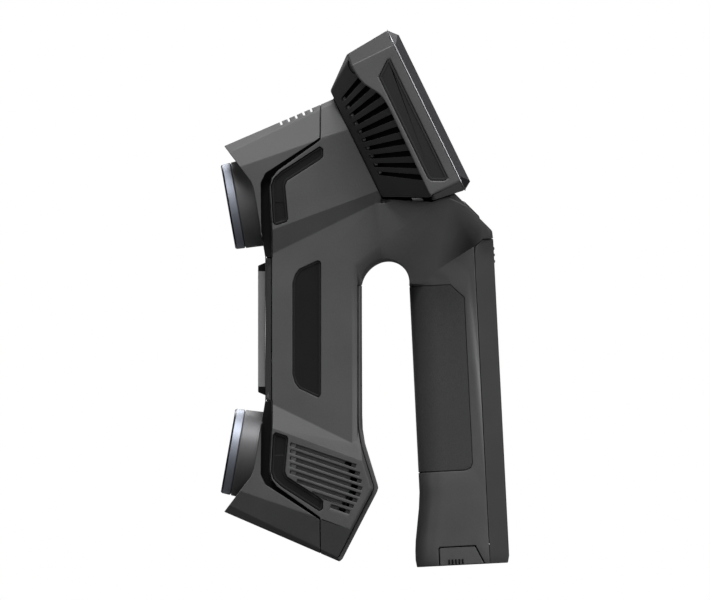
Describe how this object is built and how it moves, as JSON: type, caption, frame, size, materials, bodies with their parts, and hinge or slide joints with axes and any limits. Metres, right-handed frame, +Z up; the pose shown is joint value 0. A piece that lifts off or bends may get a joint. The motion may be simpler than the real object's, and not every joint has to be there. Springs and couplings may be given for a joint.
{
  "type": "handheld 3-D scanner",
  "caption": "Handheld 3-D scanner: toed-in cameras and a projector window on an upright body, a tilted touch display and a pistol handle with a slide-out battery pack.",
  "frame": {"origin": "middle of the handle's base face", "axes": "+Z up, the cameras look towards -X, Y across, Y = 0 is the plane of symmetry"},
  "size_m": [0.1616, 0.15, 0.3006],
  "materials": {
    "shell": "fine moulded grain, satin",
    "cover": "fine moulded grain, darker",
    "trim": "dark, smooth",
    "soft": "matte, finely textured",
    "lens_metal": "black anodised",
    "bright_metal": "machined, satin",
    "inner_metal": "plain",
    "touch_glass": "dark cover glass",
    "window_glass": "dark tinted, clear to infrared",
    "lens_glass": "coated",
    "diffuser": "milky light ring",
    "board": "green solder mask",
    "dark_inner": "plain black",
    "cell": "sleeved can"
  },
  "bodies": {
    "housing": {"upper_camera_bezel": "shell", "lower_camera_bezel": "shell", "front_fascia": "cover", "rear_cover": "shell", "left_main_shell": "shell", "right_main_shell": "shell", "upper_light_bar_left": "trim", "upper_light_bar_right": "trim", "lower_light_bar_left": "trim", "lower_light_bar_right": "trim", "nameplate_left": "trim", "nameplate_right": "trim", "data_port": "inner_metal", "window_frame": "cover", "projector_window": "window_glass", "upper_laser_module": "inner_metal", "lower_laser_module": "inner_metal", "texture_camera": "lens_metal", "display_housing": "shell", "side_pad_left": "soft", "side_pad_right": "soft", "display_bezel": "lens_metal", "display_glass": "touch_glass", "display_panel": "dark_inner", "main_board": "board", "heat_sink": "inner_metal", "fan_housing": "dark_inner", "rubber_grip": "soft", "handle_rear_cover": "cover", "button_board": "board", "scan_switch": "dark_inner", "battery_contacts": "inner_metal", "optical_bench": "inner_metal", "processing_board": "board", "upper_camera_barrel": "lens_metal", "upper_trim_ring": "bright_metal", "upper_light_diffuser": "diffuser", "upper_lens_cell": "lens_metal", "upper_front_lens": "lens_glass", "upper_image_sensor": "board", "lower_camera_barrel": "lens_metal", "lower_trim_ring": "bright_metal", "lower_light_diffuser": "diffuser", "lower_lens_cell": "lens_metal", "lower_front_lens": "lens_glass", "lower_image_sensor": "board"},
    "battery_pack": {"battery_tray": "dark_inner", "battery_cell_1": "cell", "battery_cell_2": "cell", "battery_cell_3": "cell", "battery_cell_4": "cell", "battery_cap": "cover"},
    "latch_left": {"battery_latch_left": "shell"},
    "latch_right": {"battery_latch_right": "shell"},
    "scan_key": {"scan_button": "trim"},
    "rocker": {"function_rocker": "trim"},
    "port_flap": {"port_cover": "soft"},
    "rotor": {"fan_rotor": "dark_inner"}
  },
  "joints": [
    {"name": "scan_press", "type": "slide", "parent": "housing", "child": "scan_key", "axis": [-0.7071, 0, -0.7071], "range_m": [0, 0.001], "stiffness_N_per_m": 900},
    {"name": "rocker_tilt", "type": "hinge", "parent": "housing", "child": "rocker", "pos_m": [0.01494, 0, 0.17348], "axis": [0, 1, 0], "range_deg": [-4, 4], "stiffness_Nm_per_rad": 0.08},
    {"name": "battery_slide", "type": "slide", "parent": "housing", "child": "battery_pack", "axis": [0.0506, 0, -0.9987], "range_m": [0, 0.155]},
    {"name": "latch_left_squeeze", "type": "slide", "parent": "battery_pack", "child": "latch_left", "axis": [0, 1, 0], "range_m": [0, 0.0018], "stiffness_N_per_m": 900},
    {"name": "latch_right_squeeze", "type": "slide", "parent": "battery_pack", "child": "latch_right", "axis": [0, -1, 0], "range_m": [0, 0.0018], "stiffness_N_per_m": 900},
    {"name": "port_flap_hinge", "type": "hinge", "parent": "housing", "child": "port_flap", "pos_m": [-0.09898, 0, 0.01505], "axis": [0, 1, 0], "range_deg": [0, 110]},
    {"name": "fan_spin", "type": "hinge", "parent": "housing", "child": "rotor", "pos_m": [-0.04001, 0, 0.24466], "axis": [0.8988, 0, 0.4384], "continuous": true}
  ]
}
